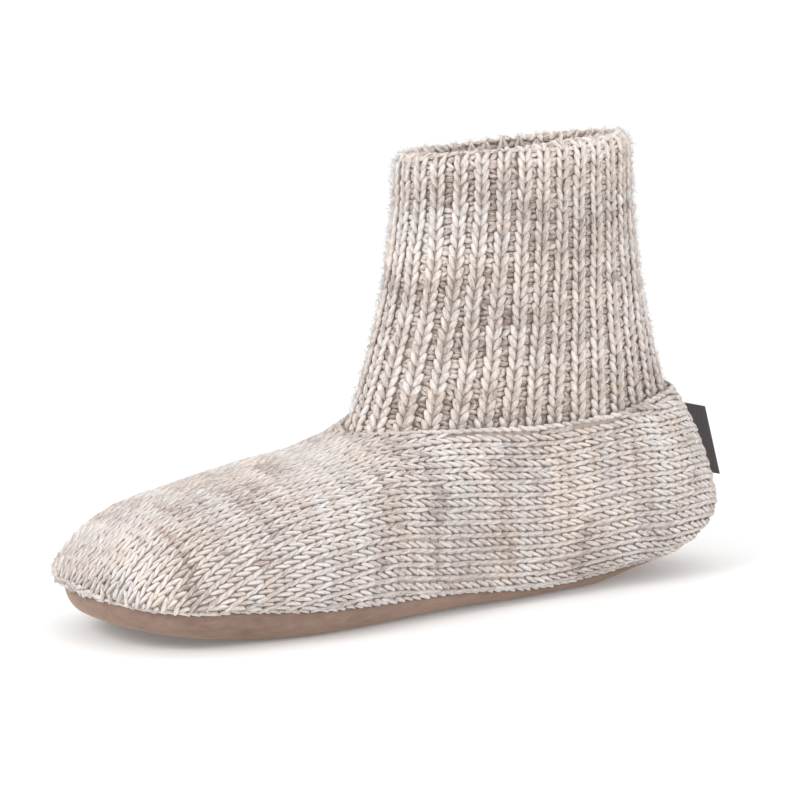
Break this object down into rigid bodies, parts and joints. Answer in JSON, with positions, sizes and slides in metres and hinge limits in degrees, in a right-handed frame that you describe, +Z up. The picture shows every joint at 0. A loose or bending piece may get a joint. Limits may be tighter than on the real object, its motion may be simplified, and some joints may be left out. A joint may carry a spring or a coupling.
{
  "type": "slipper sock",
  "caption": "Knitted slipper sock for the left foot: wool foot with a ribbed shaft folded over at the top, a soft suede sole and a bare woven label on the back seam.",
  "frame": {"origin": "on the floor, under the middle of the sock's bounding box", "axes": "+Z up, the toe points along -Y and the heel along +Y, +X is the outer side of the left foot"},
  "size_m": [0.0976, 0.293, 0.1759],
  "materials": {
    "foot_knit": "marled wool jersey, beige and taupe",
    "rib_knit": "marled wool rib, beige and taupe",
    "suede": "soft brown suede",
    "insole_felt": "cream felt",
    "woven_label": "black woven ribbon"
  },
  "bodies": {
    "root": {"upper": "foot_knit", "shaft": "rib_knit", "outsole": "suede", "insole": "insole_felt", "label": "woven_label"}
  },
  "joints": []
}
